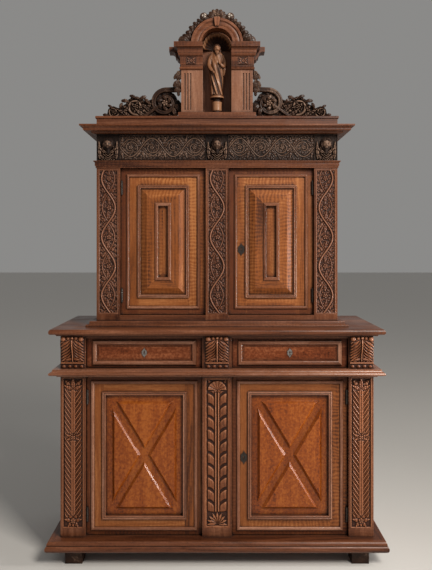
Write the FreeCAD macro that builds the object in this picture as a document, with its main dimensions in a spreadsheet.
import FreeCAD, Part
import math
import os
import Sketcher

# Two-part walnut sideboard with a carved niche pediment.
# Millimetres, +Z up, the front faces -Y, origin at the bottom centre of the bounding box.

SIZES = (
    # Lower case, uprights and levels
    ("case_width", 1384, "lower case across its corner posts"),
    ("case_depth", 510, "lower case from post face to back"),
    ("foot_height", 63, "block feet"),
    ("foot_width", 76, "block feet, both ways"),
    ("foot_inset", 80, "plinth end to foot"),
    ("foot_front_inset", 40, "plinth front edge to the front feet"),
    ("plinth_rise", 47, "plinth moulding height"),
    ("plinth_reach", 56, "plinth moulding projection"),
    ("plinth_rail", 70, "plinth frame inside the case faces"),
    ("post_rise", 890, "lower posts from plinth to top"),
    ("corner_post_width", 110, "lower corner posts"),
    ("centre_post_width", 130, "lower centre post"),
    ("waist_rise", 35, "waist moulding height"),
    ("waist_reach", 44, "waist moulding projection"),
    ("drawer_bay_rise", 145, "waist to the underside of the top"),
    ("lower_top_rise", 31, "moulded top board"),
    ("lower_top_reach", 43, "top board overhang"),
    # Carcase boards of both cases
    ("side_thickness", 30, "side frames"),
    ("rear_post_depth", 60, "rear posts"),
    ("bottom_rail_rise", 95, "side frame bottom rails"),
    ("middle_rail_rise", 70, "side frame middle rail"),
    ("top_rail_rise", 45, "side frame top rails"),
    ("panel_thickness", 12, "side panels"),
    ("panel_field_rise", 6, "raised field of the side panels"),
    ("panel_bevel", 34, "bevel round the raised field"),
    ("board_thickness", 18, "bottom, shelf and top boards"),
    ("back_thickness", 14, "back planks"),
    ("plank_gap", 0.5, "between back planks"),
    ("cleat_width", 18, "shelf cleats"),
    ("shelf_setback", 26, "shelf behind the door backs"),
    ("lower_shelf_height", 350, "plinth to the lower shelf"),
    ("upper_shelf_height", 330, "upper floor to the upper shelf"),
    ("stop_clearance", 0.5, "door back to the boards it shuts against"),
    # Upper case
    ("upper_width", 1101, "upper case across its corner posts"),
    ("upper_setback", 93, "upper posts behind the lower posts"),
    ("upper_base_rise", 24, "upper base moulding height"),
    ("upper_base_reach", 42, "upper base moulding projection"),
    ("upper_post_rise", 698, "upper posts"),
    ("sill_rise", 25, "rail below the upper doors"),
    ("upper_corner_width", 107, "upper corner posts"),
    ("upper_centre_width", 104, "upper centre post"),
    ("architrave_rise", 32, "architrave moulding height"),
    ("architrave_reach", 13, "architrave projection"),
    ("frieze_rise", 122, "carved frieze"),
    ("cornice_rise", 35, "cornice height"),
    ("cornice_reach", 66, "cornice projection"),
    ("cornice_rail", 46, "cornice frame inside the case faces"),
    ("attic_rise", 48, "board under the pediment"),
    ("attic_reach", 5, "ledge of that board"),
    ("attic_depth", 190, "depth of that board"),
    # Doors
    ("door_recess", 20, "doors and drawers behind the posts"),
    ("door_thickness", 26, "door frames and drawer fronts"),
    ("door_gap", 3, "gap round doors and drawers"),
    ("stile_width", 76, "lower door stiles and rails"),
    ("edge_bead_offset", 18, "door edge to the outer bead"),
    ("edge_bead_width", 16, "outer bead"),
    ("edge_bead_rise", 8, "outer bead"),
    ("inner_bead_offset", 68, "door edge to the inner bead"),
    ("inner_bead_width", 16, "inner bead"),
    ("inner_bead_rise", 9, "inner bead"),
    ("panel_sink", 8, "lower door panel below the frame face"),
    ("door_panel_thickness", 12, "door panels"),
    ("facet_margin", 112, "door edge to the faceted field"),
    ("facet_bar", 26, "sunken cross between the facets"),
    ("facet_rise", 12, "facet height"),
    ("facet_bevel", 11, "slope of each facet edge"),
    ("upper_stile_width", 82, "upper door stiles and rails"),
    ("upper_bead_offset", 24, "upper door edge to its outer bead"),
    ("upper_bead_width", 13, "upper outer bead"),
    ("upper_inner_offset", 75, "upper door edge to its second bead"),
    ("upper_inner_width", 14, "upper second bead"),
    ("table_gap", 3, "upper second bead to the raised table"),
    ("table_rise", 16, "raised table"),
    ("field_bead", 15, "bead round the sunken field"),
    ("field_bead_rise", 6, "bead round the sunken field"),
    ("field_sink", 11, "sunken field"),
    # Hinges, locks and turn buttons
    ("knuckle_radius", 5, "hinge knuckles"),
    ("knuckle_rise", 32, "each half knuckle"),
    ("pin_radius", 2.5, "hinge pins and button screws"),
    ("pin_fit", 0.05, "radial play on pins"),
    ("fit_gap", 0.3, "running gap"),
    ("leaf_thickness", 1.2, "hinge leaves"),
    ("leaf_depth", 22, "hinge leaves"),
    ("lock_width", 58, "door lock cases"),
    ("lock_rise", 84, "door lock cases"),
    ("lock_depth", 13, "lock cases"),
    ("lock_inset", 2, "lock case to the door edge"),
    ("bolt_rise", 14, "bolt"),
    ("bolt_depth", 6, "bolt thickness"),
    ("bolt_length", 40, "bolt"),
    ("escutcheon_width", 28, "door escutcheons"),
    ("escutcheon_rise", 62, "door escutcheons"),
    ("escutcheon_thickness", 2.5, "escutcheons"),
    ("keyhole_width", 6, "keyholes"),
    ("keyhole_rise", 14, "keyholes"),
    ("lower_lock_height", 455, "floor to the lower door lock"),
    ("upper_lock_height", 1380, "floor to the upper door lock"),
    ("button_length", 84, "turn buttons"),
    ("button_width", 20, "turn buttons"),
    ("button_thickness", 9, "turn buttons"),
    ("button_inset", 26, "door edge to the button screw"),
    ("screw_head_radius", 5.5, "button screws"),
    ("screw_head_rise", 3, "button screws"),
    ("screw_bite", 14, "button screws in the door"),
    # Drawers
    ("top_rail_front", 12, "rail over the drawers"),
    ("drawer_rear_gap", 50, "drawer box to the back planks"),
    ("drawer_side_rise", 102, "drawer sides"),
    ("drawer_side_thickness", 12, "drawer sides and back"),
    ("drawer_bottom_thickness", 8, "drawer bottoms"),
    ("drawer_bottom_lift", 6, "drawer bottoms above the side edges"),
    ("drawer_bead_side", 24, "drawer front edge to its moulding, at the ends"),
    ("drawer_bead_edge", 8, "drawer front edge to its moulding, above and below"),
    ("drawer_bead_width", 20, "drawer moulding"),
    ("drawer_bead_rise", 9, "drawer moulding"),
    ("drawer_field_margin", 9, "moulding to the raised drawer field"),
    ("drawer_field_rise", 3, "raised drawer field"),
    ("drawer_lock_width", 60, "drawer lock cases"),
    ("drawer_lock_rise", 48, "drawer lock cases"),
    ("drawer_plate_width", 22, "drawer escutcheons"),
    ("drawer_plate_rise", 45, "drawer escutcheons"),
    ("runner_width", 26, "drawer runners"),
    ("runner_thickness", 20, "drawer runners"),
    ("guide_thickness", 16, "drawer guides"),
    ("guide_rise", 40, "drawer guides"),
    # Carvings on the posts and frieze
    ("carving_sink", 7, "recess for the carved strips"),
    ("carving_proud", 4, "carved strips in front of the posts"),
    ("strip_margin", 8, "post edge to the carved strip"),
    ("lower_strip_foot", 40, "plain foot of the lower posts"),
    ("lower_strip_head", 6, "plain head of the lower posts"),
    ("upper_strip_foot", 30, "plain foot of the upper posts"),
    ("upper_strip_head", 6, "plain head of the upper posts"),
    ("console_reach", 30, "drawer consoles"),
    ("console_margin", 4, "post edge to the console"),
    ("frieze_relief", 6, "frieze scrolls"),
    ("frieze_margin", 5, "frieze scrolls to the mouldings"),
    ("head_block_thickness", 6, "ground of the carved busts"),
    ("head_radius", 20, "half width of each carved head"),
    ("head_rise", 52, "crown to chin of each carved head"),
    ("head_drop", 33, "frieze top to the middle of the head"),
    ("bust_width", 84, "draped shoulders of each bust"),
    ("bust_rise", 56, "draped shoulders of each bust"),
    ("bust_depth", 13, "draped shoulders of each bust"),
    # Pediment
    ("niche_plinth_reach", 13.5, "base board of the niche beyond its piers"),
    ("niche_plinth_rise", 18, "base board of the niche"),
    ("niche_plinth_depth", 160, "base board of the niche"),
    ("niche_width", 329, "niche across its piers"),
    ("niche_opening", 132, "between the piers"),
    ("niche_depth", 110, "pier face to the niche back"),
    ("niche_setback", 14, "pier face behind the attic board"),
    ("niche_back_thickness", 18, "niche back board"),
    ("pier_rise", 196, "piers"),
    ("flute_width", 6, "pier flutes"),
    ("flute_depth", 4, "pier flutes"),
    ("flute_pitch", 13, "pier flutes"),
    ("flute_margin", 14, "pier edge to the first flute and its ends"),
    ("capital_rise", 122, "piers to the springing of the arch"),
    ("capital_reach", 32, "capitals over the piers"),
    ("side_capital_reach", 59, "wider capitals behind"),
    ("side_capital_setback", 48, "wider capitals behind the pier face"),
    ("arch_radius", 120, "outside of the arch"),
    ("arch_band", 47, "width of the arch"),
    ("arch_depth", 62, "depth of the arch"),
    ("arch_hollow", 6, "hollow along the arch"),
    ("keystone_width", 28, "keystone at its top"),
    ("keystone_taper", 5, "keystone narrows each side"),
    ("keystone_rise", 40, "keystone"),
    ("keystone_proud", 9, "keystone in front of the arch"),
    ("shell_thickness", 30, "scallop shell"),
    ("shell_lobes_proud", 6, "scallop lobes"),
    ("shell_gap", 2, "shell edge to the arch"),
    ("pedestal_rise", 84, "turned pedestal"),
    ("pedestal_radius", 33, "turned pedestal"),
    ("figure_rise", 247, "robed figure"),
    ("figure_width", 88, "robed figure at the elbows"),
    ("figure_depth", 56, "robed figure"),
    ("figure_base", 66, "plate under the figure"),
    ("figure_base_rise", 9, "plate under the figure"),
    ("wing_end_gap", 19, "attic board beyond the scroll wings"),
    ("wing_rise", 144, "scroll wings"),
    ("wing_thickness", 34, "scroll wings"),
    ("wing_setback", 40, "wings behind the attic board"),
    ("crest_rise", 48, "crest over the arch"),
    ("crest_foot", 62, "crest leaves beside the arch"),
    ("crest_thickness", 30, "crest"),
    ("crest_setback", 12, "crest behind the arch face"),
    ("pendant_width", 32, "pendants beside the piers"),
    ("pendant_rise", 118, "pendants"),
    ("pendant_thickness", 22, "pendants"),
    ("pendant_setback", 2, "pendants behind the pier face"),
    ("overrun", 5, "cuts run past their faces by this"),
)

# Bends of arcs: the tangent of a quarter of the arc's angle.
ROUND = 0.41
HOLLOW = -0.41
GENTLE = 0.2
QUARTER_TURN = math.tan(math.pi / 8)

# Moulding profiles from bottom to top: share of the reach, share of the rise, bend of the way there.
PLINTH_SHARES = (
    (0.86, 0.0), (1.0, 0.30, 0.26), (0.88, 0.60, 0.26), (0.82, 0.60), (0.82, 0.68), (0.88, 0.68),
    (0.78, 0.94, GENTLE), (0.78, 1.0),
)
WAIST_SHARES = (
    (0.30, 0.0), (0.62, 0.22, HOLLOW), (0.72, 0.22), (1.0, 0.40, GENTLE), (0.92, 0.62, GENTLE),
    (0.66, 0.92, HOLLOW), (0.66, 1.0),
)
LOWER_TOP_SHARES = (
    (0.36, 0.0), (0.62, 0.28, HOLLOW), (0.86, 0.28), (1.0, 0.52, 0.24), (0.94, 0.86, 0.22),
    (0.84, 1.0, GENTLE),
)
UPPER_BASE_SHARES = (
    (1.0, 0.0), (1.0, 0.18), (0.92, 0.42, ROUND), (0.66, 0.56, HOLLOW), (0.66, 0.72), (0.60, 1.0, GENTLE),
)
ARCHITRAVE_SHARES = (
    (0.30, 0.0), (0.30, 0.28), (0.55, 0.28), (0.55, 0.58), (1.0, 0.86, HOLLOW), (1.0, 1.0),
)
CORNICE_SHARES = (
    (0.10, 0.0), (0.34, 0.24, ROUND), (0.72, 0.24), (0.78, 0.44, ROUND), (0.78, 0.52), (0.96, 0.80, HOLLOW),
    (1.0, 0.80), (1.0, 1.0),
)
ATTIC_SHARES = (
    (0.0, 0.0), (0.0, 0.72), (1.0, 0.78, HOLLOW), (1.0, 0.94), (0.6, 1.0, GENTLE),
)
CAPITAL_SHARES = (
    (0.06, 0.0), (0.26, 0.06, GENTLE), (0.06, 0.13, GENTLE), (0.06, 0.20), (0.14, 0.20), (0.14, 0.50),
    (0.42, 0.62, ROUND), (0.50, 0.62), (0.50, 0.68), (0.86, 0.82, HOLLOW), (1.0, 0.82), (1.0, 1.0),
)
# Turned pedestal: share of the radius, share of the rise, bend.
PEDESTAL_SHARES = (
    (0.86, 0.0), (0.86, 0.10), (0.60, 0.26, HOLLOW), (0.44, 0.50, -0.2), (0.64, 0.76, -0.2),
    (0.88, 0.90, ROUND), (1.0, 0.90), (1.0, 1.0),
)
# Console side view: share of the reach, share of the rise, bend.
CONSOLE_SHARES = (
    (0.20, 0.0), (0.42, 0.10, ROUND), (0.30, 0.24, GENTLE), (0.40, 0.46, -0.22), (1.0, 0.74, 0.3),
    (0.72, 0.94, ROUND), (0.72, 1.0),
)
# Scroll wing from its outer tip inwards: share of the length, share of the rise, bend.
WING_SHARES = (
    (1.0, 0.02), (0.90, 0.14, -0.25), (0.71, 0.27, 0.75), (0.66, 0.44, -0.2), (0.36, 0.50, 0.8),
    (0.30, 0.80, -0.25), (0.0, 0.86, 0.42),
)
# Crest lobes from the capital to the crown: share of the quarter turn, share of the crest's rise.
CREST_SHARES = ((0.22, 0.50), (0.40, 0.44), (0.58, 0.46), (0.74, 0.58), (0.88, 0.72))
CREST_BEND = 0.3
# Pendant: share of the width, share of the rise, bend.
PENDANT_SHARES = (
    (0.30, 0.0, 0), (0.85, 0.18, 0.3), (0.45, 0.34, 0.4), (1.0, 0.62, 0.4), (0.55, 0.80, 0.4),
    (0.9, 1.0, 0.3),
)
# Robed figure: share of the rise, share of half the width, share of half the depth.
ROBE_SHARES = (
    (0.0, 0.62, 0.82), (0.12, 0.60, 0.74), (0.34, 0.66, 0.80), (0.50, 0.78, 0.92), (0.62, 0.92, 0.90),
    (0.72, 0.98, 0.82), (0.80, 0.86, 0.66), (0.835, 0.30, 0.36),
)
# Figure's head: its rise as a share of the figure's, then half its width and depth as shares of that rise.
FIGURE_HEAD_SHARES = (0.17, 0.38, 0.42)
HINGE_HEIGHT_SHARES = (0.13, 0.87)
# Round of a bead's edges: at most these shares of its width and of its rise.
BEAD_SHARES = (0.42, 0.8)
# Raised table of the upper doors: its slope and its sunken field as shares of its half width.
TABLE_SLOPE_SHARE = 0.278
TABLE_FIELD_SHARE = 0.216
# Carved strip: how far its edges stand proud, as a share, and the bend of each rib.
STRIP_EDGE_SHARE = 0.25
STRIP_BEND = -0.1
# Keyhole plate and keyhole: shares of half the width and of half the rise, bend.
PLATE_SHARES = (
    (0.0, -1.0, -0.15), (0.55, -0.55, -0.15), (1.0, -0.1, 0.3), (1.0, 0.1), (0.55, 0.55, 0.3),
    (0.0, 1.0, -0.15), (-0.55, 0.55, -0.15), (-1.0, 0.1, 0.3), (-1.0, -0.1), (-0.55, -0.55, 0.3),
)
KEYHOLE_SHARES = (
    (-0.5, -1.0), (0.5, -1.0), (0.5, 0.0), (1.0, 0.5, 0.3), (0.0, 1.0, ROUND), (-1.0, 0.5, ROUND),
    (-0.5, 0.0, 0.3),
)
# Face of the arch from its outside inwards: share of the band, share of the hollow, bend.
ARCH_SHARES = ((0.22, 0.0), (0.34, 1.0), (0.72, 1.0, -0.15), (0.80, 0.0))
# Shell: hollow's depth as a share of the thickness, its radius as a share of the shell's, bend of each lobe.
SHELL_SHARES = (0.8, 0.86)
SHELL_BEND = 0.35
BACK_PLANKS = 5
SHELL_LOBES = 9
FLUTES = 3


class Size:
    """A length that knows its value and the spreadsheet expression that gives it."""

    def __init__(self, value, text):
        self.value = value
        self.text = text

    def joined(self, sign, other, value):
        return Size(value, f"({self.text} {sign} {other.text})")

    def __add__(self, other):
        other = as_size(other)
        return self.joined("+", other, self.value + other.value)

    def __sub__(self, other):
        other = as_size(other)
        return self.joined("-", other, self.value - other.value)

    def __mul__(self, other):
        other = as_size(other)
        return self.joined("*", other, self.value * other.value)

    def __truediv__(self, other):
        other = as_size(other)
        return self.joined("/", other, self.value / other.value)

    def __radd__(self, other):
        return as_size(other) + self

    def __rsub__(self, other):
        return as_size(other) - self

    def __rmul__(self, other):
        return as_size(other) * self

    def __neg__(self):
        return as_size(0) - self


def as_size(number):
    """A plain number, such as zero or a share, as a Size."""
    if isinstance(number, Size):
        return number
    return Size(float(number), f"{float(number):.6f}")


def diagonal(wide, high):
    """Length of the diagonal of a rectangle."""
    return Size(math.hypot(wide.value, high.value), f"sqrt({wide.text}^2 + {high.text}^2)")


def smaller(first, second):
    """The smaller of two lengths."""
    return Size(min(first.value, second.value), f"min({first.text}; {second.text})")


doc = FreeCAD.newDocument("sideboard")
sheet = doc.addObject("Spreadsheet::Sheet", "dims")


class Dims:
    """The spreadsheet's aliases as Size attributes."""


d = Dims()
for row, (alias, number, meaning) in enumerate(SIZES, start=1):
    sheet.set(f"A{row}", meaning)
    sheet.set(f"B{row}", str(number))
    sheet.setAlias(f"B{row}", alias)
    setattr(d, alias, Size(float(number), f"dims.{alias}"))
doc.recompute()

nodes = []


def node(label, *pieces):
    """Name one sub-part, either one piece or a group of separate pieces."""
    if len(pieces) == 1:
        whole = pieces[0]
    else:
        whole = doc.addObject("Part::Compound", label)
        whole.Links = list(pieces)
    whole.Label = label
    nodes.append(whole)
    return whole


def place(thing, x, y, z):
    """Bind an object's place to the sheet."""
    for axis, size in zip("xyz", (x, y, z)):
        thing.setExpression(f"Placement.Base.{axis}", as_size(size).text)


def board(name, x, y, z):
    """A square-edged board between two corners."""
    box = doc.addObject("Part::Box", name)
    for side, (low, high) in zip(("Length", "Width", "Height"), (x, y, z)):
        box.setExpression(side, (as_size(high) - low).text)
    place(box, x[0], y[0], z[0])
    return box


def rod(name, radius, rise, x, y, z):
    """An upright cylinder."""
    cylinder = doc.addObject("Part::Cylinder", name)
    cylinder.setExpression("Radius", as_size(radius).text)
    cylinder.setExpression("Height", as_size(rise).text)
    place(cylinder, x, y, z)
    return cylinder


def cut(name, base, *tools):
    """Base with each tool taken out."""
    for number, tool in enumerate(tools):
        result = doc.addObject("Part::Cut", f"{name}_{number}")
        result.Base = base
        result.Tool = tool
        base = result
    return base


def fuse(name, *pieces):
    """Pieces joined into one solid."""
    result = doc.addObject("Part::MultiFuse", name)
    result.Shapes = list(pieces)
    result.Refine = True
    return result


def common(name, first, second):
    """What two solids share."""
    result = doc.addObject("Part::Common", name)
    result.Base = first
    result.Tool = second
    return result


def across(side, inner, outer):
    """An X range on the left, side -1, or on the right, side 1, of the centre line."""
    if side > 0:
        return inner, outer
    return -outer, -inner


def draw(sketch, corners):
    """A closed outline whose corners are bound to the sheet.

    A corner is (u, v) or (u, v, bend). The bend of the way to that corner is the tangent of a quarter
    of the arc's angle, positive where the way turns left, and zero where it is straight.
    """
    first = sketch.GeometryCount
    count = len(corners)
    points = [(as_size(corner[0]), as_size(corner[1])) for corner in corners]
    ends = []
    for index in range(count):
        following = (index + 1) % count
        start = FreeCAD.Vector(points[index][0].value, points[index][1].value, 0)
        end = FreeCAD.Vector(points[following][0].value, points[following][1].value, 0)
        bend = corners[following][2] if len(corners[following]) > 2 else 0
        if bend == 0:
            sketch.addGeometry(Part.LineSegment(start, end), False)
            ends.append((1, 2, bend))
            continue
        chord = end - start
        height = (1 - bend * bend) / (4 * bend)
        centre = (start + end) * 0.5 + FreeCAD.Vector(-chord.y, chord.x, 0) * height
        radius = (start - centre).Length
        begin_angle = math.atan2(start.y - centre.y, start.x - centre.x)
        end_angle = math.atan2(end.y - centre.y, end.x - centre.x)
        circle = Part.Circle(centre, FreeCAD.Vector(0, 0, 1), radius)
        if bend > 0:
            sketch.addGeometry(Part.ArcOfCircle(circle, begin_angle, end_angle), False)
            ends.append((1, 2, bend))
        else:
            sketch.addGeometry(Part.ArcOfCircle(circle, end_angle, begin_angle), False)
            ends.append((2, 1, bend))
    for index in range(count):
        following = (index + 1) % count
        start, end, bend = ends[index]
        joint = Sketcher.Constraint("Coincident", first + index, end, first + following, ends[following][0])
        sketch.addConstraint(joint)
        for kind, size in zip(("DistanceX", "DistanceY"), points[index]):
            hold = Sketcher.Constraint(kind, -1, 1, first + index, start, size.value)
            sketch.setExpression(f"Constraints[{sketch.addConstraint(hold)}]", size.text)
        if bend == 0:
            continue
        chord = diagonal(points[following][0] - points[index][0], points[following][1] - points[index][1])
        radius = chord * ((1 + bend * bend) / (4 * abs(bend)))
        hold = Sketcher.Constraint("Radius", first + index, radius.value)
        sketch.setExpression(f"Constraints[{sketch.addConstraint(hold)}]", radius.text)


def new_sketch(body, name, plane, outlines):
    """A sketch on one of the body's own origin planes."""
    sketch = body.newObject("Sketcher::SketchObject", name)
    support = [feature for feature in body.Origin.OriginFeatures if feature.Role == plane][0]
    sketch.AttachmentSupport = (support, [""])
    sketch.MapMode = "FlatFace"
    for corners in outlines:
        draw(sketch, corners)
    sketch.Visibility = False
    return sketch


def padded(name, plane, outlines, length, x=0, y=0, z=0, reverse=False):
    """A body padded from outlines. XZ_Plane pads towards the front, YZ_Plane to +X, XY_Plane up."""
    body = doc.addObject("PartDesign::Body", name)
    add_pad(body, name, plane, outlines, length, reverse=reverse)
    place(body, x, y, z)
    return body


def add_pad(body, name, plane, outlines, length, reverse=False, slope=None):
    """One more pad on a body, with its sides leaning in by slope, an expression in degrees."""
    sketch = new_sketch(body, f"{name}_sketch", plane, outlines)
    pad = body.newObject("PartDesign::Pad", f"{name}_pad")
    pad.Profile = sketch
    pad.Reversed = reverse
    pad.setExpression("Length", as_size(length).text)
    if slope is not None:
        pad.setExpression("TaperAngle", slope)
    return pad


def rectangle(half_wide, half_high):
    """Corners of a rectangle about the origin."""
    return ((-half_wide, -half_high), (half_wide, -half_high), (half_wide, half_high), (-half_wide, half_high))


def round_front(body, name, radius, depth):
    """Round the edges of a ring's front face, which lies at that depth in front of the body's plane."""
    doc.recompute()
    base = body.Tip
    edges = []
    for number, edge in enumerate(base.Shape.Edges, start=1):
        if all(abs(vertex.Point.y + depth.value) < 1e-6 for vertex in edge.Vertexes):
            edges.append(f"Edge{number}")
    fillet = body.newObject("PartDesign::Fillet", f"{name}_round")
    fillet.Base = (base, edges)
    fillet.setExpression("Radius", as_size(radius).text)
    return fillet


def bead(name, half_wide, half_high, width, rise, x, y, z):
    """A rounded frame moulding on a face that looks to the front, given its outer half sizes."""
    outlines = (rectangle(half_wide, half_high), rectangle(half_wide - width, half_high - width))
    body = padded(name, "XZ_Plane", outlines, rise, x, y, z)
    round_front(body, name, smaller(width * BEAD_SHARES[0], rise * BEAD_SHARES[1]), rise)
    return body


def along(profile_shares, face, outward, reach, bottom, rise):
    """A moulding profile's corners beside a face. Outward is 1 where it points to plus, else -1."""
    if reach.value == 0:
        return [(face, bottom), (face, bottom + rise)]
    corners = []
    for step in profile_shares:
        bend = step[2] * outward if len(step) > 2 else 0
        corners.append((face + reach * (step[0] * outward), bottom + rise * step[1], bend))
    return corners


def backwards(corners):
    """The same open way walked from its end to its start."""
    bends = [corner[2] if len(corner) > 2 else 0 for corner in corners]
    turned = [corners[-1][:2]]
    for step in range(len(corners) - 1, 0, -1):
        turned.append((*corners[step - 1][:2], -bends[step]))
    return turned


def mitred_runs(name, shares, reach, rise, inner, half, front, back, bottom):
    """A moulding along the front and both sides, mitred at the corners, as three pieces.

    Inner is how far each piece also runs inside the faces.
    """
    top = bottom + rise
    outer = half + reach
    runs = []
    profile = [(front + inner, bottom)] + along(shares, front, -1, reach, bottom, rise) + [(front + inner, top)]
    stock = padded(f"{name}_front_stock", "YZ_Plane", (profile,), outer * 2, x=-outer)
    plan = (
        (inner - half, front + inner), (-outer, front - reach),
        (outer, front - reach), (half - inner, front + inner),
    )
    mitre = padded(f"{name}_front_mitre", "XY_Plane", (plan,), rise, z=bottom)
    runs.append(common(f"{name}_front", stock, mitre))
    for side, word in ((-1, "left"), (1, "right")):
        face = half * side
        inside = (half - inner) * side
        profile = [(inside, bottom)] + along(shares, face, side, reach, bottom, rise) + [(inside, top)]
        stock = padded(f"{name}_{word}_stock", "XZ_Plane", (profile,), back - front + reach, y=back)
        plan = ((inside, front + inner), (outer * side, front - reach), (outer * side, back), (inside, back))
        mitre = padded(f"{name}_{word}_mitre", "XY_Plane", (plan,), rise, z=bottom)
        runs.append(common(f"{name}_{word}", stock, mitre))
    return runs


def moulded_block(name, shares, reach, rise, x, front, back, bottom, inner_reach):
    """A block moulded on its front and both sides. Inner_reach sets each side's reach, left then right."""
    top = bottom + rise
    front_profile = [(back, bottom)] + along(shares, front, -1, reach, bottom, rise) + [(back, top)]
    left_reach, right_reach = inner_reach
    wide = x[1] - x[0] + left_reach + right_reach
    lengthwise = padded(f"{name}_length", "YZ_Plane", (front_profile,), wide, x=x[0] - left_reach)
    right = along(shares, x[1], 1, right_reach, bottom, rise)
    left = along(shares, x[0], -1, left_reach, bottom, rise)
    crosswise = padded(f"{name}_cross", "XZ_Plane", (right + backwards(left),), back - front + reach, y=back)
    return common(name, lengthwise, crosswise)


# Levels and planes that the pieces share
half = d.case_width / 2
back = (d.case_depth + d.plinth_reach) / 2
front = back - d.case_depth
plinth_top = d.foot_height + d.plinth_rise
lower_top_bottom = plinth_top + d.post_rise
lower_top_top = lower_top_bottom + d.lower_top_rise
waist_top = lower_top_bottom - d.drawer_bay_rise
waist_bottom = waist_top - d.waist_rise
post_depth = d.door_recess + d.door_thickness
bay_inner = d.centre_post_width / 2
bay_outer = half - d.corner_post_width
drawer_top = lower_top_bottom - d.top_rail_front

upper_half = d.upper_width / 2
upper_front = front + d.upper_setback
upper_base_top = lower_top_top + d.upper_base_rise
sill_top = upper_base_top + d.sill_rise
upper_post_top = upper_base_top + d.upper_post_rise
frieze_bottom = upper_post_top + d.architrave_rise
cornice_bottom = frieze_bottom + d.frieze_rise
cornice_top = cornice_bottom + d.cornice_rise
attic_top = cornice_top + d.attic_rise
upper_bay_inner = d.upper_centre_width / 2
upper_bay_outer = upper_half - d.upper_corner_width

niche_floor = attic_top + d.niche_plinth_rise
pier_top = niche_floor + d.pier_rise
springing = pier_top + d.capital_rise
pier_front = upper_front + d.niche_setback
niche_rear = pier_front + d.niche_depth
niche_half = d.niche_width / 2
niche_plinth_half = niche_half + d.niche_plinth_reach


def feet():
    blocks = []
    outer = half + d.plinth_reach - d.foot_inset
    ranges = (
        (front - d.plinth_reach + d.foot_front_inset, "front"),
        (back - d.foot_width, "rear"),
    )
    for near, word in ranges:
        for side in (-1, 1):
            x = across(side, outer - d.foot_width, outer)
            blocks.append(board(f"foot_{word}_{side + 1}", x, (near, near + d.foot_width), (0, d.foot_height)))
    node("feet", *blocks)


def base_frame():
    runs = mitred_runs(
        "plinth", PLINTH_SHARES, d.plinth_reach, d.plinth_rise, d.plinth_rail, half, front, back, d.foot_height
    )
    inside = half - d.plinth_rail
    rail = board("plinth_back", (-inside, inside), (back - d.plinth_rail, back), (d.foot_height, plinth_top))
    node("base_frame", *runs, rail)


def carved_post(name, x, y, z, strip_z):
    """An upright with a shallow recess for its carved strip, and that strip."""
    post = board(f"{name}_blank", x, y, z)
    strip_x = (x[0] + d.strip_margin, x[1] - d.strip_margin)
    tool = board(f"{name}_recess", strip_x, (y[0] - d.overrun, y[0] + d.carving_sink), strip_z)
    return cut(name, post, tool), strip_x


def carved_strip(name, x, y, z, ribs):
    """A carved strip as its main forms: upright rounded ribs on a flat ground, the form under the leaves."""
    face = y - d.carving_proud * STRIP_EDGE_SHARE
    ground = y + d.carving_sink
    width = x[1] - x[0]
    plan = [(x[0], ground), (x[1], ground), (x[1], face)]
    share = 1 / ribs
    for rib in range(ribs - 1, -1, -1):
        plan.append((x[0] + width * (share * rib), face, STRIP_BEND))
    return padded(name, "XY_Plane", (plan,), z[1] - z[0], z=z[0])


def lower_posts():
    z = (plinth_top, lower_top_bottom)
    y = (front, front + post_depth)
    strip_z = (plinth_top + d.lower_strip_foot, waist_bottom - d.lower_strip_head)
    corners = []
    strips = []
    for side, word in ((-1, "left"), (1, "right")):
        x = across(side, bay_outer, half)
        post, strip_x = carved_post(f"lower_{word}_post", x, y, z, strip_z)
        corners.append(post)
        strips.append(carved_strip(f"lower_{word}_strip", strip_x, front, strip_z, 2))
    centre, strip_x = carved_post("lower_middle_post", (-bay_inner, bay_inner), y, z, strip_z)
    strips.append(carved_strip("lower_middle_strip", strip_x, front, strip_z, 2))
    node("lower_corner_posts", *corners)
    node("lower_centre_post", centre)
    node("lower_post_carvings", *strips)


def fielded_panel(name, side, x, y, z):
    """A side panel with a raised bevelled field that looks outwards."""
    middle_y = (y[0] + y[1]) / 2
    middle_z = (z[0] + z[1]) / 2
    wide = (y[1] - y[0]) / 2
    high = (z[1] - z[0]) / 2
    body = doc.addObject("PartDesign::Body", name)
    add_pad(body, f"{name}_plate", "YZ_Plane", (rectangle(wide, high),), d.panel_thickness, reverse=side > 0)
    field = rectangle(wide - d.fit_gap, high - d.fit_gap)
    slope = f"-atan({d.panel_bevel.text} / {d.panel_field_rise.text})"
    add_pad(body, f"{name}_field", "YZ_Plane", (field,), d.panel_field_rise, reverse=side < 0, slope=slope)
    place(body, x, middle_y, middle_z)
    return body


def side_frames(name, half_width, face, floor, top, rails, shelf_bottom):
    """Rear post, rails, fielded panels and shelf cleat of each side."""
    pieces = []
    inner = half_width - d.side_thickness
    y = (face + post_depth, back - d.rear_post_depth)
    for side, word in ((-1, "left"), (1, "right")):
        x = across(side, inner, half_width)
        pieces.append(board(f"{name}_{word}_rear_post", x, (y[1], back), (floor, top)))
        for number, z in enumerate(rails):
            pieces.append(board(f"{name}_{word}_rail_{number}", x, y, z))
        seat = (half_width - d.side_thickness / 2) * side
        for number in range(len(rails) - 1):
            z = (rails[number][1], rails[number + 1][0])
            pieces.append(fielded_panel(f"{name}_{word}_panel_{number}", side, seat, y, z))
        cleat_x = across(side, inner - d.cleat_width, inner)
        cleat_y = (face + post_depth, back - d.back_thickness)
        cleat_z = (shelf_bottom - d.cleat_width, shelf_bottom)
        pieces.append(board(f"{name}_{word}_cleat", cleat_x, cleat_y, cleat_z))
    node(name, *pieces)


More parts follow.
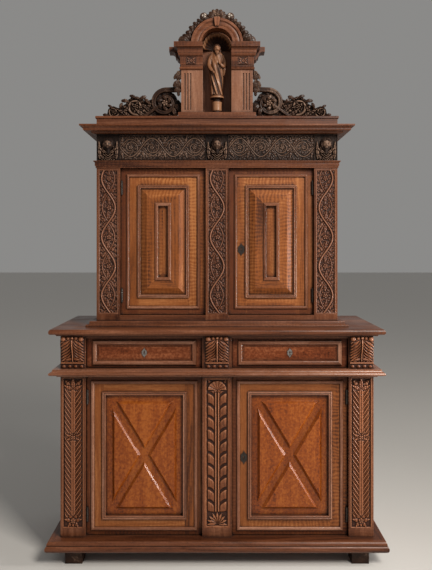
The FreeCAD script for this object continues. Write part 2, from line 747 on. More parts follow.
def back_planks(name, half_width, floor, top):
    """Upright planks between the rear posts."""
    planks = []
    inside = half_width - d.side_thickness
    pitch = inside * 2 / BACK_PLANKS
    for number in range(BACK_PLANKS):
        x = (-inside + pitch * number + d.plank_gap / 2, -inside + pitch * (number + 1) - d.plank_gap / 2)
        planks.append(board(f"{name}_{number}", x, (back - d.back_thickness, back), (floor, top)))
    node(name, *planks)


def lower_carcase():
    shelf = plinth_top + d.lower_shelf_height
    rails = (
        (plinth_top, plinth_top + d.bottom_rail_rise),
        (waist_top - d.middle_rail_rise, waist_top),
        (lower_top_bottom - d.top_rail_rise, lower_top_bottom),
    )
    side_frames("lower_sides", half, front, plinth_top, lower_top_bottom, rails, shelf)
    back_planks("lower_back_boards", half, plinth_top, lower_top_bottom)
    x = (-(half - d.side_thickness), half - d.side_thickness)
    behind = front + post_depth + d.stop_clearance
    rear = back - d.back_thickness
    floor = board("lower_floor", x, (behind, rear), (plinth_top, plinth_top + d.board_thickness))
    shelf_board = board(
        "lower_shelf", x, (front + post_depth + d.shelf_setback, rear), (shelf, shelf + d.board_thickness)
    )
    node("lower_boards", floor, shelf_board)


def drawer_frame():
    pieces = []
    y = (front, front + post_depth)
    rear = back - d.back_thickness
    for side in (-1, 1):
        x = across(side, bay_inner, bay_outer)
        pieces.append(board(f"waist_rail_{side + 1}", x, y, (waist_bottom, waist_top)))
        pieces.append(board(f"drawer_top_rail_{side + 1}", x, y, (drawer_top, lower_top_bottom)))
        for edge, inward, word in ((x[0], 1, "near"), (x[1], -1, "far")):
            outline = [
                (edge - d.guide_thickness * inward, waist_top - d.runner_thickness),
                (edge + d.runner_width * inward, waist_top - d.runner_thickness),
                (edge + d.runner_width * inward, waist_top),
                (edge, waist_top),
                (edge, waist_top + d.guide_rise),
                (edge - d.guide_thickness * inward, waist_top + d.guide_rise),
            ]
            length = rear - front - post_depth
            pieces.append(padded(f"runner_{side + 1}_{word}", "XZ_Plane", (outline,), length, y=rear))
    node("drawer_frame", *pieces)


def lower_mouldings():
    runs = mitred_runs(
        "waist", WAIST_SHARES, d.waist_reach, d.waist_rise, as_size(0), half, front, back, waist_bottom
    )
    node("waist_moulding", *runs)
    reach = d.lower_top_reach
    x = (-half, half)
    top = moulded_block(
        "lower_top", LOWER_TOP_SHARES, reach, d.lower_top_rise, x, front, back, lower_top_bottom, (reach, reach)
    )
    node("lower_top", top)


def consoles():
    """S-shaped brackets at the drawer level, one on each post."""
    pieces = []
    rise = lower_top_bottom - waist_top
    outline = [(front, waist_top)]
    outline += along(CONSOLE_SHARES, front, -1, d.console_reach, waist_top, rise)
    outline += [(front, lower_top_bottom)]
    ranges = [across(side, bay_outer, half) for side in (-1, 1)] + [(-bay_inner, bay_inner)]
    for number, x in enumerate(ranges):
        margin = d.console_margin
        if number == 2:
            margin = d.console_margin + (d.centre_post_width - d.corner_post_width) / 2
        length = x[1] - x[0] - margin * 2
        pieces.append(padded(f"console_{number}", "YZ_Plane", (outline,), length, x=x[0] + margin))
    node("drawer_consoles", *pieces)


def upper_carcase():
    floor = sill_top
    shelf = sill_top + d.upper_shelf_height
    rails = (
        (upper_base_top, sill_top + d.bottom_rail_rise),
        (frieze_bottom - d.top_rail_rise, cornice_bottom),
    )
    side_frames("upper_sides", upper_half, upper_front, upper_base_top, cornice_bottom, rails, shelf)
    back_planks("upper_back_boards", upper_half, upper_base_top, cornice_bottom)
    x = (-(upper_half - d.side_thickness), upper_half - d.side_thickness)
    behind = upper_front + post_depth
    rear = back - d.back_thickness
    boards = [
        board("upper_floor", x, (behind + d.stop_clearance, rear), (upper_base_top, floor)),
        board("upper_shelf", x, (behind + d.shelf_setback, rear), (shelf, shelf + d.board_thickness)),
        board("upper_ceiling", x, (behind, rear), (cornice_bottom - d.board_thickness, cornice_bottom)),
    ]
    for side in (-1, 1):
        sill_x = across(side, upper_bay_inner, upper_bay_outer)
        boards.append(board(f"sill_{side + 1}", sill_x, (upper_front, behind), (upper_base_top, sill_top)))
    node("upper_boards", *boards)


def upper_posts():
    z = (upper_base_top, upper_post_top)
    y = (upper_front, upper_front + post_depth)
    strip_z = (upper_base_top + d.upper_strip_foot, upper_post_top - d.upper_strip_head)
    corners = []
    strips = []
    for side, word in ((-1, "left"), (1, "right")):
        x = across(side, upper_bay_outer, upper_half)
        post, strip_x = carved_post(f"upper_{word}_post", x, y, z, strip_z)
        corners.append(post)
        strips.append(carved_strip(f"upper_{word}_strip", strip_x, upper_front, strip_z, 1))
    centre, strip_x = carved_post("upper_middle_post", (-upper_bay_inner, upper_bay_inner), y, z, strip_z)
    strips.append(carved_strip("upper_middle_strip", strip_x, upper_front, strip_z, 1))
    node("upper_corner_posts", *corners)
    node("upper_centre_post", centre)
    node("vine_carvings", *strips)


def upper_mouldings():
    base = mitred_runs(
        "upper_base", UPPER_BASE_SHARES, d.upper_base_reach, d.upper_base_rise, post_depth, upper_half,
        upper_front, back, lower_top_top,
    )
    node("upper_base_moulding", *base)
    architrave = mitred_runs(
        "architrave", ARCHITRAVE_SHARES, d.architrave_reach, d.architrave_rise, as_size(0), upper_half,
        upper_front, back, upper_post_top,
    )
    node("architrave_moulding", *architrave)
    cornice = mitred_runs(
        "cornice", CORNICE_SHARES, d.cornice_reach, d.cornice_rise, d.cornice_rail, upper_half,
        upper_front, back, cornice_bottom,
    )
    node("cornice", *cornice)


def frieze():
    x = (-upper_half, upper_half)
    rail = board("frieze_board", x, (upper_front, upper_front + post_depth), (upper_post_top, cornice_bottom))
    node("frieze_rail", rail)
    z = (frieze_bottom + d.frieze_margin, cornice_bottom - d.frieze_margin)
    scrolls = []
    busts = []
    face = (upper_front - d.frieze_relief, upper_front)
    for side in (-1, 1):
        scroll_x = across(side, upper_bay_inner, upper_bay_outer)
        scrolls.append(board(f"frieze_scroll_{side + 1}", scroll_x, face, z))
    node("frieze_carvings", *scrolls)
    centres = [-(upper_half - d.upper_corner_width / 2), as_size(0), upper_half - d.upper_corner_width / 2]
    for number, centre in enumerate(centres):
        busts.append(bust(f"frieze_bust_{number}", centre))
    node("frieze_heads", *busts)


def half_egg(name, half_high, half_wide, deep, x, y, z):
    """The front half of an upright ellipsoid."""
    egg = doc.addObject("Part::Ellipsoid", name)
    for radius, size in zip(("Radius1", "Radius2", "Radius3"), (half_high, half_wide, deep)):
        egg.setExpression(radius, as_size(size).text)
    egg.Angle3 = 180
    egg.Placement = FreeCAD.Placement(FreeCAD.Vector(), FreeCAD.Rotation(FreeCAD.Vector(0, 0, 1), 180))
    place(egg, x, y, z)
    return egg


def bust(name, centre):
    """A carved head over draped shoulders on a small ground."""
    ground_x = (centre - d.upper_centre_width / 2, centre + d.upper_centre_width / 2)
    face = upper_front - d.head_block_thickness
    ground = board(f"{name}_ground", ground_x, (face, upper_front), (frieze_bottom, cornice_bottom))
    head_z = cornice_bottom - d.head_drop
    head = half_egg(f"{name}_head", d.head_rise / 2, d.head_radius, d.head_radius, centre, face, head_z)
    shoulders = half_egg(
        f"{name}_shoulders", d.bust_rise / 2, d.bust_width / 2, d.bust_depth, centre, face,
        frieze_bottom + d.bust_rise / 2,
    )
    return fuse(name, ground, head, shoulders)


def door_frame(name, x, face, z, stile, pilot=None):
    """Two stiles with two rails between them. Pilot is the hole for a button screw in the right stile."""
    y = (face, face + d.door_thickness)
    right_stile = board(f"{name}_right_stile", (x[1] - stile, x[1]), y, z)
    if pilot is not None:
        right_stile = cut(f"{name}_drilled_stile", right_stile, pilot)
    pieces = [
        board(f"{name}_left_stile", (x[0], x[0] + stile), y, z),
        right_stile,
        board(f"{name}_bottom_rail", (x[0] + stile, x[1] - stile), y, (z[0], z[0] + stile)),
        board(f"{name}_top_rail", (x[0] + stile, x[1] - stile), y, (z[1] - stile, z[1])),
    ]
    node(f"{name}_frame", *pieces)


def lower_panel(name, x, face, z):
    """Beads round a panel of four bevelled facets with a sunken cross between them."""
    middle_x = (x[0] + x[1]) / 2
    middle_z = (z[0] + z[1]) / 2
    wide = (x[1] - x[0]) / 2
    high = (z[1] - z[0]) / 2
    plate_face = face + d.panel_sink
    body = doc.addObject("PartDesign::Body", f"{name}_facets")
    plate = rectangle(wide - d.stile_width, high - d.stile_width)
    add_pad(body, f"{name}_plate", "XZ_Plane", (plate,), d.door_panel_thickness, reverse=True)
    a = wide - d.facet_margin
    b = high - d.facet_margin
    span = diagonal(a, b)
    tip_high = d.facet_bar * span / (a * 2)
    tip_wide = d.facet_bar * span / (b * 2)
    facets = (
        ((a - tip_wide, b), (tip_wide - a, b), (0, tip_high)),
        ((tip_wide - a, -b), (a - tip_wide, -b), (0, -tip_high)),
        ((a, tip_high - b), (a, b - tip_high), (tip_wide, 0)),
        ((-a, b - tip_high), (-a, tip_high - b), (-tip_wide, 0)),
    )
    slope = f"-atan({d.facet_bevel.text} / {d.facet_rise.text})"
    add_pad(body, f"{name}_facet", "XZ_Plane", facets, d.facet_rise, slope=slope)
    place(body, middle_x, plate_face, middle_z)
    outer = bead(
        f"{name}_edge_bead", wide - d.edge_bead_offset, high - d.edge_bead_offset, d.edge_bead_width,
        d.edge_bead_rise, middle_x, face, middle_z,
    )
    inner = bead(
        f"{name}_inner_bead", wide - d.inner_bead_offset, high - d.inner_bead_offset,
        d.stile_width - d.inner_bead_offset, d.inner_bead_rise, middle_x, face, middle_z,
    )
    lip = bead(
        f"{name}_panel_bead", wide - d.stile_width, high - d.stile_width,
        d.inner_bead_offset + d.inner_bead_width - d.stile_width, d.panel_sink + d.inner_bead_rise,
        middle_x, plate_face, middle_z,
    )
    node(f"{name}_panel", body, outer, inner, lip)


def upper_panel(name, x, face, z):
    """Beads round a raised table with sloping sides and a sunken field in its middle."""
    middle_x = (x[0] + x[1]) / 2
    middle_z = (z[0] + z[1]) / 2
    wide = (x[1] - x[0]) / 2
    high = (z[1] - z[0]) / 2
    body = doc.addObject("PartDesign::Body", f"{name}_table")
    plate = rectangle(wide - d.upper_stile_width, high - d.upper_stile_width)
    add_pad(body, f"{name}_plate", "XZ_Plane", (plate,), d.door_panel_thickness, reverse=True)
    table_margin = d.upper_inner_offset + d.upper_inner_width + d.table_gap
    table_wide = wide - table_margin
    raised = rectangle(table_wide, high - table_margin)
    slope = f"-atan({(table_wide * TABLE_SLOPE_SHARE).text} / {d.table_rise.text})"
    add_pad(body, f"{name}_rise", "XZ_Plane", (raised,), d.table_rise, slope=slope)
    place(body, middle_x, face, middle_z)
    sunk_wide = table_wide * TABLE_FIELD_SHARE
    sunk_high = high - wide + sunk_wide
    sunk_face = face - d.table_rise
    tool = board(
        f"{name}_sinking", (middle_x - sunk_wide, middle_x + sunk_wide),
        (sunk_face - d.overrun, sunk_face + d.field_sink), (middle_z - sunk_high, middle_z + sunk_high),
    )
    table = cut(f"{name}_table_sunk", body, tool)
    outer = bead(
        f"{name}_edge_bead", wide - d.upper_bead_offset, high - d.upper_bead_offset, d.upper_bead_width,
        d.edge_bead_rise, middle_x, face, middle_z,
    )
    inner = bead(
        f"{name}_inner_bead", wide - d.upper_inner_offset, high - d.upper_inner_offset,
        d.upper_stile_width - d.upper_inner_offset, d.inner_bead_rise, middle_x, face, middle_z,
    )
    lip = bead(
        f"{name}_panel_bead", wide - d.upper_stile_width, high - d.upper_stile_width,
        d.upper_inner_offset + d.upper_inner_width - d.upper_stile_width, d.inner_bead_rise,
        middle_x, face, middle_z,
    )
    field = bead(
        f"{name}_field_bead", sunk_wide + d.field_bead, sunk_high + d.field_bead, d.field_bead,
        d.field_bead_rise, middle_x, sunk_face, middle_z,
    )
    node(f"{name}_panel", table, outer, inner, lip, field)


def hinge_halves(name, edge, inward, door_face, z):
    """The case half with its pin, and the door half, of each hinge of a door.

    Edge is the post's side, inward is 1 where the door lies to its right, else -1.
    """
    axis_x = edge + (d.knuckle_radius + d.fit_gap) * inward
    axis_y = door_face - d.knuckle_radius - d.fit_gap
    leaf_y = (axis_y, door_face + d.leaf_depth)
    case_halves = []
    door_halves = []
    height = z[1] - z[0]
    for number, share in enumerate(HINGE_HEIGHT_SHARES):
        low = z[0] + height * share - d.knuckle_rise
        top = low + d.knuckle_rise
        tag = f"{name}_hinge_{number}"
        barrel = rod(f"{tag}_case_barrel", d.knuckle_radius, d.knuckle_rise, axis_x, axis_y, low)
        pin = rod(f"{tag}_pin", d.pin_radius, d.knuckle_rise * 2, axis_x, axis_y, low)
        leaf_x = (edge, edge + d.leaf_thickness)
        if inward < 0:
            leaf_x = (edge - d.leaf_thickness, edge)
        leaf = board(f"{tag}_case_leaf", leaf_x, leaf_y, (low, top))
        bore = rod(f"{tag}_case_room", d.pin_radius, d.knuckle_rise, axis_x, axis_y, low)
        hollow = cut(f"{tag}_case_leaf_cut", leaf, bore)
        case_halves.append(fuse(f"{tag}_case", barrel, pin, hollow))
        bottom = top + d.fit_gap
        rise = d.knuckle_rise - d.fit_gap
        barrel = rod(f"{tag}_door_barrel", d.knuckle_radius, rise, axis_x, axis_y, bottom)
        door_edge = edge + d.door_gap * inward
        leaf_x = (door_edge - d.leaf_thickness, door_edge)
        if inward < 0:
            leaf_x = (door_edge, door_edge + d.leaf_thickness)
        leaf = board(f"{tag}_door_leaf", leaf_x, leaf_y, (bottom, bottom + rise))
        joined = fuse(f"{tag}_door_solid", barrel, leaf)
        bore = rod(
            f"{tag}_door_bore", d.pin_radius + d.pin_fit, d.knuckle_rise + d.overrun * 2, axis_x, axis_y,
            bottom - d.overrun,
        )
        door_halves.append(cut(f"{tag}_door", joined, bore))
    return case_halves, door_halves


def scaled(shares, wide, high):
    """Corners of an outline about the origin, from shares of two lengths."""
    return [(wide * step[0], high * step[1], *step[2:]) for step in shares]


def pointed_plate(name, width, rise, x, face, z):
    """An iron keyhole plate: a pointed oval with a lobed waist, and its keyhole."""
    outline = scaled(PLATE_SHARES, width / 2, rise / 2)
    hole = scaled(KEYHOLE_SHARES, d.keyhole_width / 2, d.keyhole_rise / 2)
    return padded(name, "XZ_Plane", (outline, hole), d.escutcheon_thickness, x, face, z)


def door_lock(name, edge, face, height, plate_offset):
    """Lock case on the back of a right-hand door, with its bolt, and the keyhole plate in front."""
    door_back = face + d.door_thickness
    case_x = (edge + d.lock_inset, edge + d.lock_inset + d.lock_width)
    case_y = (door_back, door_back + d.lock_depth)
    case_z = (height - d.lock_rise / 2, height + d.lock_rise / 2)
    blank = board(f"{name}_case_blank", case_x, case_y, case_z)
    wall = (d.lock_depth - d.bolt_depth) / 2
    bolt_x = (case_x[0], case_x[0] + d.bolt_length)
    bolt_y = (case_y[0] + wall, case_y[1] - wall)
    bolt_z = (height - d.bolt_rise / 2, height + d.bolt_rise / 2)
    slot = board(
        f"{name}_slot", (bolt_x[0] - d.overrun, bolt_x[1] + d.fit_gap),
        (bolt_y[0] - d.fit_gap, bolt_y[1] + d.fit_gap), (bolt_z[0] - d.fit_gap, bolt_z[1] + d.fit_gap),
    )
    case = cut(f"{name}_case", blank, slot)
    bolt = board(f"{name}_bolt_bar", bolt_x, bolt_y, bolt_z)
    node(f"{name}_bolt", bolt)
    plate_x = edge + plate_offset
    plate = pointed_plate(f"{name}_plate", d.escutcheon_width, d.escutcheon_rise, plate_x, face, height)
    return [case, plate]


def turn_button(name, edge, face, height):
    """A wooden button on the back of a left-hand door, and the screw that it turns on."""
    door_back = face + d.door_thickness
    x = edge - d.button_inset
    half_length = d.button_length / 2
    wide = d.button_width / 2
    straight = half_length - wide
    outline = (
        (-wide, -straight), (0, -half_length, ROUND), (wide, -straight, ROUND),
        (wide, straight), (0, half_length, ROUND), (-wide, straight, ROUND),
    )
    button_back = door_back + d.fit_gap + d.button_thickness
    body = padded(f"{name}_blank", "XZ_Plane", (outline,), d.button_thickness, x, button_back, height)
    bore_length = d.button_thickness + d.fit_gap + d.overrun * 2
    bore = screw_rod(f"{name}_bore", d.pin_radius + d.pin_fit, door_back - d.overrun, bore_length, x, height)
    node(name, cut(f"{name}_bored", body, bore))
    shank_length = d.screw_bite + d.fit_gap * 2 + d.button_thickness
    shank = screw_rod(f"{name}_shank", d.pin_radius, door_back - d.screw_bite, shank_length, x, height)
    head_start = button_back + d.fit_gap
    head = screw_rod(f"{name}_screw_head", d.screw_head_radius, head_start, d.screw_head_rise, x, height)
    pilot_length = d.screw_bite + d.overrun
    pilot = screw_rod(f"{name}_pilot", d.pin_radius, door_back - d.screw_bite, pilot_length, x, height)
    return fuse(f"{name}_screw", shank, head), pilot


def screw_rod(name, radius, start, length, x, z):
    """A cylinder that runs from the front towards the back."""
    cylinder = doc.addObject("Part::Cylinder", name)
    cylinder.setExpression("Radius", as_size(radius).text)
    cylinder.setExpression("Height", as_size(length).text)
    cylinder.Placement = FreeCAD.Placement(FreeCAD.Vector(), FreeCAD.Rotation(FreeCAD.Vector(1, 0, 0), -90))
    place(cylinder, x, start, z)
    return cylinder


def doors():
    """Four doors with their panels, hinges, locks and turn buttons."""
    upper_plate = (d.upper_bead_offset + d.upper_bead_width + d.upper_inner_offset) / 2
    lower_plate = (d.edge_bead_offset + d.edge_bead_width + d.inner_bead_offset) / 2
    levels = (
        ("upper", upper_front, upper_bay_inner, upper_bay_outer, (sill_top, upper_post_top),
         d.upper_stile_width, upper_panel, d.upper_lock_height, upper_plate),
        ("lower", front, bay_inner, bay_outer, (plinth_top, waist_bottom),
         d.stile_width, lower_panel, d.lower_lock_height, lower_plate),
    )
    for level, case_face, inner, outer, bay_z, stile, panel, lock_height, plate_offset in levels:
        face = case_face + d.door_recess
        z = (bay_z[0] + d.door_gap, bay_z[1] - d.door_gap)
        pins = []
        for side, word in ((-1, "left"), (1, "right")):
            name = f"{level}_{word}_door"
            bay = across(side, inner, outer)
            x = (bay[0] + d.door_gap, bay[1] - d.door_gap)
            panel(name, x, face, z)
            hinge_edge = outer * side
            case_halves, door_halves = hinge_halves(name, hinge_edge, -side, face, z)
            pins += case_halves
            iron = list(door_halves)
            if side > 0:
                door_frame(name, x, face, z, stile)
                iron += door_lock(f"{level}_lock", x[0], face, lock_height, plate_offset)
            else:
                screw, pilot = turn_button(f"{level}_turn_button", x[1], face, lock_height)
                door_frame(name, x, face, z, stile, pilot)
                iron.append(screw)
            node(f"{name}_ironwork", *iron)
        node(f"{level}_hinge_pins", *pins)


def drawers():
    """Two drawers with moulded fronts, boxes and locks."""
    face = front + d.door_recess
    front_back = face + d.door_thickness
    for side, word in ((-1, "left"), (1, "right")):
        name = f"{word}_drawer"
        bay = across(side, bay_inner, bay_outer)
        x = (bay[0] + d.door_gap, bay[1] - d.door_gap)
        z = (waist_top + d.door_gap, drawer_top - d.door_gap)
        middle_x = (x[0] + x[1]) / 2
        middle_z = (z[0] + z[1]) / 2
        wide = (x[1] - x[0]) / 2
        high = (z[1] - z[0]) / 2
        plank = board(f"{name}_plank", x, (face, front_back), z)
        ring_wide = wide - d.drawer_bead_side
        ring_high = high - d.drawer_bead_edge
        ring = bead(
            f"{name}_bead", ring_wide, ring_high, d.drawer_bead_width, d.drawer_bead_rise,
            middle_x, face, middle_z,
        )
        inset = d.drawer_bead_width + d.drawer_field_margin
        corners = rectangle(ring_wide - inset, ring_high - inset)
        field = padded(f"{name}_field", "XZ_Plane", (corners,), d.drawer_field_rise, middle_x, face, middle_z)
        node(f"{name}_front", plank, ring, field)
        drawer_box(name, x, front_back)
        lock_case, bolt = drawer_lock(name, middle_x, front_back, z[1])
        plate_face = face - d.drawer_field_rise
        plate = pointed_plate(
            f"{name}_plate", d.drawer_plate_width, d.drawer_plate_rise, middle_x, plate_face, middle_z
        )
        node(f"{name}_ironwork", lock_case, plate)
        node(f"{name}_bolt", bolt)


def drawer_box(name, x, start):
    side_z = (waist_top + d.fit_gap, waist_top + d.fit_gap + d.drawer_side_rise)
    y = (start, back - d.back_thickness - d.drawer_rear_gap)
    inner = (x[0] + d.drawer_side_thickness, x[1] - d.drawer_side_thickness)
    bottom_z = side_z[0] + d.drawer_bottom_lift
    pieces = [
        board(f"{name}_left_side", (x[0], inner[0]), y, side_z),
        board(f"{name}_right_side", (inner[1], x[1]), y, side_z),
        board(f"{name}_back", inner, (y[1] - d.drawer_side_thickness, y[1]), side_z),
        board(
            f"{name}_bottom", inner, (y[0], y[1] - d.drawer_side_thickness),
            (bottom_z, bottom_z + d.drawer_bottom_thickness),
        ),
    ]
    node(f"{name}_box", *pieces)


def drawer_lock(name, x, start, top):
    """Lock case behind a drawer front, with a bolt that rises behind the rail over the drawer."""
    case_x = (x - d.drawer_lock_width / 2, x + d.drawer_lock_width / 2)
    case_y = (start, start + d.lock_depth)
    blank = board(f"{name}_lock_blank", case_x, case_y, (top - d.drawer_lock_rise, top))
    wall = (d.lock_depth - d.bolt_depth) / 2
    bolt_x = (x - d.bolt_rise / 2, x + d.bolt_rise / 2)
    bolt_y = (case_y[0] + wall, case_y[1] - wall)
    bolt_bottom = top - d.bolt_length
    slot = board(
        f"{name}_lock_slot", (bolt_x[0] - d.fit_gap, bolt_x[1] + d.fit_gap),
        (bolt_y[0] - d.fit_gap, bolt_y[1] + d.fit_gap), (bolt_bottom - d.fit_gap, top + d.overrun),
    )
    case = cut(f"{name}_lock", blank, slot)
    bolt = board(f"{name}_bolt_bar", bolt_x, bolt_y, (bolt_bottom, top))
    return case, bolt


def pediment_base():
    reach = d.attic_reach
    x = (-upper_half, upper_half)
    attic_back = upper_front + d.attic_depth
    attic = moulded_block(
        "attic_board", ATTIC_SHARES, reach, d.attic_rise, x, upper_front, attic_back, cornice_top, (reach, reach)
    )
    y = (upper_front, upper_front + d.niche_plinth_depth)
    plinth = board("niche_plinth", (-niche_plinth_half, niche_plinth_half), y, (attic_top, niche_floor))
    node("pediment_base", attic, plinth)


def niche():
    wide = niche_half
    opening = d.niche_opening / 2
    rear = niche_rear + d.niche_back_thickness
    radius = d.arch_radius
    crown = springing + radius
    outline = (
        (-wide, niche_floor), (wide, niche_floor), (wide, springing), (radius, springing),
        (0, crown, QUARTER_TURN), (-radius, springing, QUARTER_TURN), (-wide, springing),
    )
    node("niche_back", padded("niche_back_board", "XZ_Plane", (outline,), d.niche_back_thickness, y=rear))
    piers = []
    capitals = []
    for side, word in ((-1, "left"), (1, "right")):
        x = across(side, opening, wide)
        piers.append(fluted_pier(f"{word}_pier", side, x))
        split = pier_front + d.side_capital_setback
        steps = (
            (f"{word}_capital", d.capital_reach, d.capital_reach, (pier_front, split)),
            (f"{word}_side_capital", as_size(0), d.side_capital_reach, (split, niche_rear)),
        )
        for name, reach, side_reach, y in steps:
            reaches = (side_reach, as_size(0)) if side < 0 else (as_size(0), side_reach)
            block = moulded_block(name, CAPITAL_SHARES, reach, d.capital_rise, x, y[0], y[1], pier_top, reaches)
            capitals.append(block)
    node("niche_piers", *piers)
    node("niche_capitals", *capitals)


def fluted_pier(name, side, x):
    """A pier with upright flutes near its outer edge."""
    blank = board(f"{name}_blank", x, (pier_front, niche_rear), (niche_floor, pier_top))
    tools = []
    outer = x[1] if side > 0 else x[0]
    for number in range(FLUTES):
        start = outer - (d.flute_margin + d.flute_pitch * number) * side
        flute_x = (start - d.flute_width, start) if side > 0 else (start, start + d.flute_width)
        tools.append(
            board(
                f"{name}_flute_{number}", flute_x, (pier_front - d.overrun, pier_front + d.flute_depth),
                (niche_floor + d.flute_margin, pier_top - d.flute_margin),
            )
        )
    return cut(name, blank, *tools)


def arch():
    """A half ring with a hollow along its face, and the keystone at its crown."""
    outer = d.arch_radius
    inner = d.arch_radius - d.arch_band
    body = doc.addObject("PartDesign::Body", "arch_ring")
    outline = [(inner, 0), (outer, 0), (outer, -d.arch_depth)]
    for step in ARCH_SHARES:
        outline.append((outer - d.arch_band * step[0], d.arch_hollow * step[1] - d.arch_depth, *step[2:]))
    outline.append((inner, -d.arch_depth))
    sketch = new_sketch(body, "arch_sketch", "XY_Plane", (outline,))
    turn = body.newObject("PartDesign::Revolution", "arch_turn")
    turn.Profile = sketch
    turn.ReferenceAxis = ([axis for axis in body.Origin.OriginFeatures if axis.Role == "Y_Axis"][0], [""])
    turn.Angle = 180
    turn.Reversed = True
    place(body, 0, pier_front + d.arch_depth, springing)
    top = d.keystone_width / 2
    foot = top - d.keystone_taper
    crown = springing + outer
    bottom = crown - d.keystone_rise
    outline = ((-foot, bottom), (foot, bottom), (top, crown), (-top, crown))
    keystone = padded("keystone", "XZ_Plane", (outline,), d.keystone_proud, y=pier_front)
    node("niche_arch", body, keystone)


def shell():
    """A scallop half-dome at the top of the niche: a half disc with a lobed rim, hollowed in front."""
    radius = d.arch_radius - d.arch_band - d.shell_gap
    floor = springing
    rim = []
    step = math.pi / SHELL_LOBES
    for lobe in range(SHELL_LOBES + 1):
        angle = step * lobe
        bend = 0 if lobe == 0 else SHELL_BEND
        valley = radius - d.shell_lobes_proud
        rim.append((valley * math.cos(angle), floor + valley * math.sin(angle), bend))
    body = padded("shell_disc", "XZ_Plane", (rim,), d.shell_thickness, y=niche_rear)
    hollow = doc.addObject("Part::Ellipsoid", "shell_hollow")
    depth = d.shell_thickness * SHELL_SHARES[0]
    hollow.setExpression("Radius1", depth.text)
    hollow.setExpression("Radius2", (radius * SHELL_SHARES[1]).text)
    hollow.setExpression("Radius3", (radius * SHELL_SHARES[1]).text)
    hollow.Placement = FreeCAD.Placement(FreeCAD.Vector(), FreeCAD.Rotation(FreeCAD.Vector(1, 0, 0), 90))
    place(hollow, 0, niche_rear - d.shell_thickness, floor)
    node("niche_shell", cut("shell_hollowed", body, hollow))


def figure():
    """A turned pedestal and the robed figure that stands on it."""
    centre_y = pier_front + d.niche_depth / 2
    body = doc.addObject("PartDesign::Body", "pedestal_body")
    outline = [(0, 0)]
    for step in PEDESTAL_SHARES:
        bend = step[2] if len(step) > 2 else 0
        outline.append((d.pedestal_radius * step[0], d.pedestal_rise * step[1], bend))
    outline.append((0, d.pedestal_rise))
    sketch = new_sketch(body, "pedestal_sketch", "XZ_Plane", (outline,))
    turn = body.newObject("PartDesign::Revolution", "pedestal_turn")
    turn.Profile = sketch
    turn.ReferenceAxis = (sketch, ["V_Axis"])
    turn.Angle = 360
    place(body, 0, centre_y, niche_floor)
    node("statuette_pedestal", body)
    foot = niche_floor + d.pedestal_rise
    plate_half = d.figure_base / 2
    plate_deep = d.figure_depth / 2
    plate = board(
        "figure_plate", (-plate_half, plate_half), (centre_y - plate_deep, centre_y + plate_deep),
        (foot, foot + d.figure_base_rise),
    )
    robe_bottom = foot + d.figure_base_rise
    robe_rise = d.figure_rise - d.figure_base_rise
    rings = []
    for number, (level, wide, deep) in enumerate(ROBE_SHARES):
        ring = doc.addObject("Part::Ellipse", f"robe_ring_{number}")
        ring.setExpression("MajorRadius", (d.figure_width / 2 * wide).text)
        ring.setExpression("MinorRadius", (d.figure_depth / 2 * deep).text)
        place(ring, 0, centre_y, robe_bottom + robe_rise * level)
        rings.append(ring)
    robe = doc.addObject("Part::Loft", "robe")
    robe.Sections = rings
    robe.Solid = True
    head = doc.addObject("Part::Ellipsoid", "figure_head")
    head_rise = robe_rise * FIGURE_HEAD_SHARES[0]
    head.setExpression("Radius1", (head_rise / 2).text)
    head.setExpression("Radius2", (head_rise * FIGURE_HEAD_SHARES[1]).text)
    head.setExpression("Radius3", (head_rise * FIGURE_HEAD_SHARES[2]).text)
    place(head, 0, centre_y, robe_bottom + robe_rise - head_rise / 2)
    node("statuette", fuse("figure_whole", plate, robe, head))


def wings():
    """Scroll wings that fall away on both sides of the niche."""
    inner = niche_half
    length = upper_half - d.wing_end_gap - inner
    pieces = []
    y = upper_front + d.wing_setback + d.wing_thickness
    for side, word in ((-1, "left"), (1, "right")):
        outline = [(inner * side, attic_top), ((inner + length) * side, attic_top)]
        for step in WING_SHARES:
            bend = step[2] * side if len(step) > 2 else 0
            outline.append(((inner + length * step[0]) * side, attic_top + d.wing_rise * step[1], bend))
        wing = padded(f"{word}_wing_blank", "XZ_Plane", (outline,), d.wing_thickness, y=y)
        plinth_room = board(
            f"{word}_wing_room", across(side, inner - d.overrun, niche_plinth_half),
            (upper_front, upper_front + d.attic_depth), (attic_top - d.overrun, niche_floor),
        )
        pieces.append(cut(f"{word}_wing", wing, plinth_room))
    node("scroll_wings", *pieces)


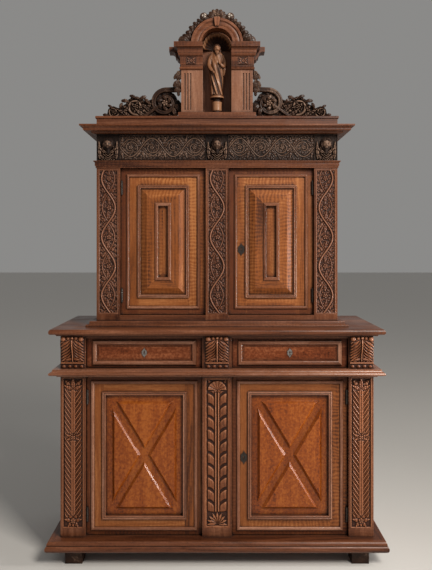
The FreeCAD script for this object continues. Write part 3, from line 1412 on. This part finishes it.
def crest():
    """Carved leaves over the arch, with a taller spray at the crown, and the pendants beside the piers."""
    inner = d.arch_radius + d.fit_gap
    right = [(inner, springing), (inner + d.crest_foot, springing)]
    for angle_share, lobe_share in CREST_SHARES:
        angle = math.pi / 2 * angle_share
        ring = inner + d.crest_rise * lobe_share
        right.append((ring * math.cos(angle), springing + ring * math.sin(angle), CREST_BEND))
    right.append((0, springing + d.arch_radius + d.crest_rise, CREST_BEND))
    left = [(-corner[0], *corner[1:2], -corner[2] if len(corner) > 2 else 0) for corner in right]
    crown = (0, springing + inner, -QUARTER_TURN)
    outline = right + backwards(left)[1:] + [crown]
    outline[0] = (*right[0], -QUARTER_TURN)
    y = pier_front + d.crest_setback + d.crest_thickness
    pieces = [padded("crest_spray", "XZ_Plane", (outline,), d.crest_thickness, y=y)]
    wide = niche_half
    for side, word in ((-1, "left"), (1, "right")):
        outline = [(wide * side, pier_top - d.pendant_rise)]
        for out_share, up_share, bend in PENDANT_SHARES:
            x = (wide + d.pendant_width * out_share) * side
            outline.append((x, pier_top - d.pendant_rise * (1 - up_share), bend * side))
        outline.append((wide * side, pier_top))
        y = pier_front + d.pendant_setback + d.pendant_thickness
        pieces.append(padded(f"{word}_pendant", "XZ_Plane", (outline,), d.pendant_thickness, y=y))
    node("crest_and_pendants", *pieces)


feet()
base_frame()
lower_posts()
lower_carcase()
drawer_frame()
lower_mouldings()
consoles()
upper_mouldings()
upper_posts()
upper_carcase()
frieze()
doors()
drawers()
pediment_base()
niche()
arch()
shell()
figure()
wings()
crest()
doc.recompute()

failed = [thing.Label for thing in doc.Objects if "Invalid" in thing.State or "Error" in thing.State]
if failed:
    raise RuntimeError(f"failed objects: {failed}")
for piece in nodes:
    if piece.Shape.isNull() or not piece.Shape.isValid():
        raise RuntimeError(f"{piece.Label} has no valid shape")
os.makedirs("parts", exist_ok=True)
for piece in nodes:
    piece.Shape.exportStep(os.path.join("parts", f"{piece.Label}.step"))
print(f"{len(nodes)} sub-parts, {sum(len(piece.Shape.Solids) for piece in nodes)} solids")
